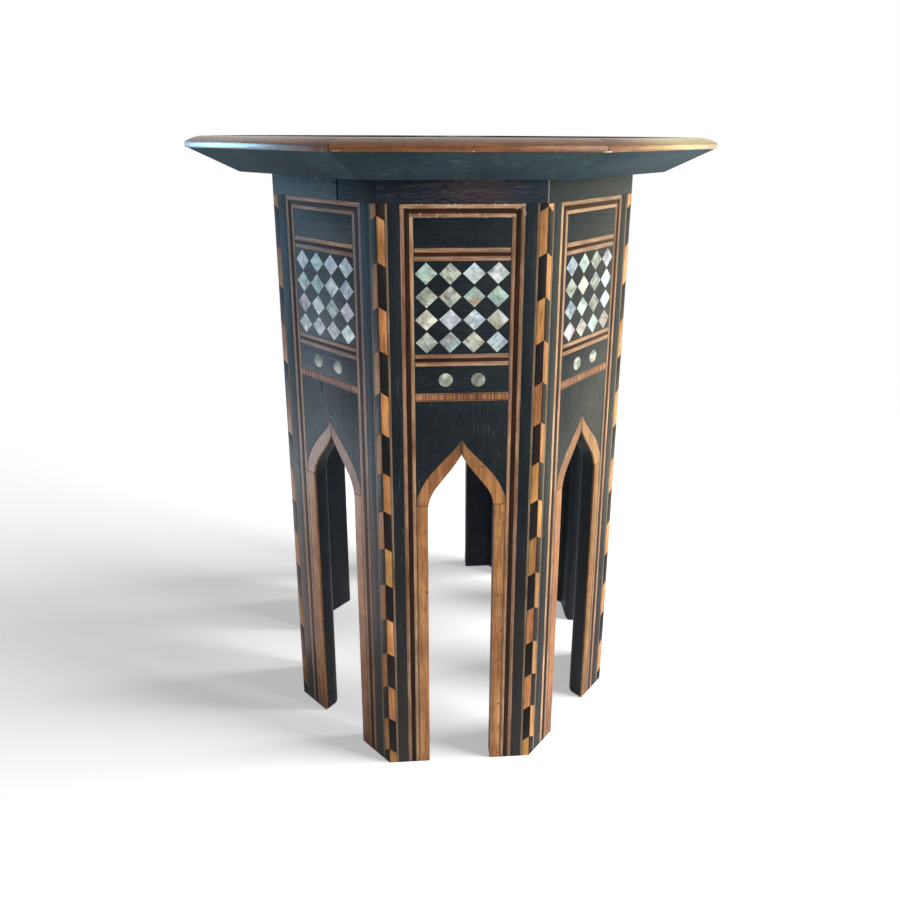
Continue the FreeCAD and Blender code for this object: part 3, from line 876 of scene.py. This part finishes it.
boardPiece = copyNode("panel_board_1", "board")
pickVertices(boardPiece, onWornArris)
bpy.ops.mesh.bevel(offset=board["worn"], segments=board["segments"], affect="EDGES")
bpy.ops.object.mode_set(mode="OBJECT")
soften(boardPiece, board["softEdge"])
for index, piece in enumerate(allRound(boardPiece, "board"), 1):
    finishPiece(piece, insideBlack, [f"panel_board_{index}"], seed=200 + index)

# bevelled rails under the rim
soffitLow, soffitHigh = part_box("soffit_rail_1")
soffit = {"bevel": 0.034, "softEdge": 0.0005}
rail = addBar("soffit", soffitLow, soffitHigh)
cutAway(rail, (0, soffitLow.y, soffitHigh.z), (0, soffitLow.z - soffitHigh.z, -soffit["bevel"]))
mitreEnds(rail)
soften(rail, soffit["softEdge"])
for index, piece in enumerate(allRound(rail, "soffit"), 1):
    finishPiece(piece, soffitBlack, [f"soffit_rail_{index}"], seed=210 + index)

# moulded rim: a bar planed to a broad round that dies into the top, mitred
rimLow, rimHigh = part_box("top_moulding_1")
rim = {"upright": 0.004, "round": 0.013, "passes": 9, "softEdge": 0.0004}
rimRise = rimHigh.z - rimLow.z - rim["upright"]
rimRadius = (rim["round"] ** 2 + rimRise ** 2) / (2 * rimRise)
rimSweep = math.asin(rim["round"] / rimRadius)
rimAxis = Vector((0, rimLow.y + rim["round"], rimHigh.z - rimRadius))
rimBar = addBar("rim", rimLow, rimHigh)
for stroke in range(rim["passes"]):
    lean = rimSweep * (stroke + 0.5) / rim["passes"]
    outward = Vector((0, -math.sin(lean), math.cos(lean)))
    cutAway(rimBar, rimAxis + outward * rimRadius, outward)
mitreEnds(rimBar)
soften(rimBar, rim["softEdge"])
rims = allRound(rimBar, "rim")
for index, piece in enumerate(rims, 1):
    finishPiece(piece, rimWood, [f"top_moulding_{index}"], seed=220 + index)

# glue blocks in the angle under the top
glue = {"softEdge": 0.0006}
glueBlocks = copyNode("top_blocks", "glueBlocks")
soften(glueBlocks, glue["softEdge"])
finishPiece(glueBlocks, blockWood, ["top_blocks"], seed=230)
print("carcase done")

# camera, fitted to the corners of the table; distances in metres, turns in radians
view = {"frame": 900, "focal": 701.0, "middle": (458.96, 319.07), "away": 0.632897, "height": 0.5222,
        "round": -0.05592, "yaw": -0.01165, "pitch": 0.25866, "roll": 0.00467, "sensor": 36, "near": 0.02}
heading = view["round"] + view["yaw"]
level = math.cos(view["pitch"])
forward = Vector((-math.sin(heading) * level, math.cos(heading) * level, -math.sin(view["pitch"])))
right = Vector((math.cos(heading), math.sin(heading), 0))
upward = right.cross(forward)
leanedRight = right * math.cos(view["roll"]) + upward * math.sin(view["roll"])
leanedUp = upward * math.cos(view["roll"]) - right * math.sin(view["roll"])
turned = Matrix((leanedRight, leanedUp, -forward)).transposed()
standing = (view["away"] * math.sin(view["round"]), -view["away"] * math.cos(view["round"]), view["height"])
deselectAll()
bpy.ops.object.camera_add(location=standing, rotation=turned.to_euler())
camera = bpy.context.object
camera.data.sensor_width = view["sensor"]
camera.data.lens = view["focal"] / view["frame"] * view["sensor"]
camera.data.shift_x = 0.5 - view["middle"][0] / view["frame"]
camera.data.shift_y = view["middle"][1] / view["frame"] - 0.5
camera.data.clip_start = view["near"]
bpy.context.scene.camera = camera


# soft studio light: a far lamp for the floor and its shadow, lamps round the table, one more on the inlaid
# wood, windows that only the rim reflects, and cool and warm cards that only the gloss sees
def softLamp(name, place, wide, tall, power, colour=(1, 1, 1), aim=(0, 0, 0.28)):
    deselectAll()
    beam = Vector(aim) - Vector(place)
    bpy.ops.object.light_add(type="AREA", location=place, rotation=beam.to_track_quat("-Z", "Y").to_euler())
    lamp = bpy.context.object
    lamp.name = name
    lamp.data.shape = "RECTANGLE"
    lamp.data.size = wide
    lamp.data.size_y = tall
    lamp.data.energy = power
    lamp.data.color = colour
    lamp.visible_camera = False
    return lamp


def floorCard(name, across, back, wide, deep, power, colour, lift=0.004):  # lies over the floor, facing up
    return softLamp(name, (across, back, lift), wide, deep, power, colour, (across, back, 1))


floorLamp = softLamp("floorLamp", (5.37, -0.86, 2.54), 3.2, 3.2, 800.0)
frontLamp = softLamp("frontLamp", (1.74, -1.94, 0.6), 1.5, 0.9, 65.0, (1.0, 0.97, 0.94))
topLamp = softLamp("topLamp", (0.4, 0.1, 2.3), 1.2, 1.2, 14.0)
sideLamp = softLamp("sideLamp", (2.3, -0.35, 0.45), 1.0, 0.8, 22.0, (1.0, 0.97, 0.84))
backLamp = softLamp("backLamp", (-0.7, 2.4, 1.0), 2.0, 1.2, 30.0)
woodLamp = softLamp("woodLamp", (2.3, -0.5, 0.4), 1.0, 0.8, 25.0, (0.97, 1.0, 0.82))
rimWindows = [softLamp("leftWindow", (-2.9, 0.8, 0.52), 1.3, 0.7, 64.0, (0.42, 0.76, 1.0)),
              softLamp("rightWindow", (2.9, 0.9, 0.52), 1.6, 0.7, 12.0, (0.97, 1.0, 0.15)),
              softLamp("rightSky", (1.9, 2.5, 1.55), 1.6, 1.3, 5.5, (0.95, 1.0, 0.2))]
leftCard = softLamp("leftCard", (-2.7, 0.5, 0.3), 2.4, 0.6, 40.0, (0.2, 0.62, 1.0))
leftFloor = floorCard("leftFloor", -0.88, 0.0, 0.8, 0.4, 11.2, (0.78, 0.88, 1.0))
leftFoot = floorCard("leftFoot", -0.34, -0.07, 0.32, 0.4, 0.9, (1.0, 0.78, 0.76))
rightCard = softLamp("rightCard", (2.6, 0.6, 0.3), 2.4, 0.8, 24.0, (1.0, 0.99, 0.7))
rightFloor = floorCard("rightFloor", 0.9, 0.3, 1.0, 1.0, 9.0, (1.0, 0.96, 0.66))
for card in rimWindows + [leftCard, leftFloor, leftFoot, rightCard, rightFloor]:
    card.visible_diffuse = False
for lamp in (topLamp, sideLamp, backLamp, woodLamp):
    lamp.visible_glossy = False

# white floor, its shading kept near the table and plain white beyond
floorSpec = {"size": 12.0, "shade": tint(238, 238, 238), "lift": 0.44, "near": 0.28, "far": 1.1}
deselectAll()
bpy.ops.mesh.primitive_plane_add(size=floorSpec["size"], location=(0, 0, 0))
floor = bpy.context.object
floor.name = "floor"
floorWhite = bpy.data.materials.new("floorWhite")
graph = Graph(floorWhite)
graph.set(Base_Color=(*floorSpec["shade"], 1), Roughness=0.9, Specular_IOR_Level=0.0)
seen = graph.seen()
fromMiddle = graph.node("ShaderNodeVectorMath", {0: graph.objectPlace()}, operation="LENGTH").outputs["Value"]
beyond = graph.span(fromMiddle, floorSpec["near"], floorSpec["far"], 0.0, 1.0)
lifted = graph.node("ShaderNodeEmission", {"Strength": graph.mult(seen, floorSpec["lift"])})
nearFloor = graph.node("ShaderNodeAddShader", {0: graph.shader.outputs[0], 1: lifted.outputs[0]})
white = graph.node("ShaderNodeEmission", {"Strength": 1.0})
shares = {0: graph.mult(beyond, seen), 1: nearFloor.outputs[0], 2: white.outputs[0]}
graph.surface(graph.node("ShaderNodeMixShader", shares), "Material Output")
floor.data.materials.append(floorWhite)


def linkLight(lamp, pieces, state):  # keeps a lamp to some pieces, or off them
    receivers = bpy.data.collections.new(lamp.name + "Receivers")
    for number, piece in enumerate(pieces):
        receivers.objects.link(piece)
        receivers.collection_objects[number].light_linking.link_state = state
    lamp.light_linking.receiver_collection = receivers


linkLight(floorLamp, [floor], "INCLUDE")
for lamp in (frontLamp, topLamp, backLamp):
    linkLight(lamp, [floor], "EXCLUDE")
linkLight(sideLamp, [floor, lozenges, discs], "EXCLUDE")
linkLight(woodLamp, inlaidWoods, "INCLUDE")
linkLight(rightCard, [lozenges], "EXCLUDE")
for lamp in rimWindows:
    linkLight(lamp, rims, "INCLUDE")

# white surroundings to the eye, a dim even light to the object
world = bpy.data.worlds.new("studio")
bpy.context.scene.world = world
graph = Graph(world)
dim = graph.tree.nodes["Background"]
dim.inputs["Color"].default_value = (0.93, 0.97, 1.0, 1)
dim.inputs["Strength"].default_value = 0.07
plain = graph.node("ShaderNodeBackground", {"Color": (1, 1, 1, 1), "Strength": 1.0})
shares = {0: graph.seen(), 1: dim.outputs[0], 2: plain.outputs[0]}
graph.surface(graph.node("ShaderNodeMixShader", shares), "World Output")

bpy.context.scene.view_settings.view_transform = "Standard"
print("scene ready")
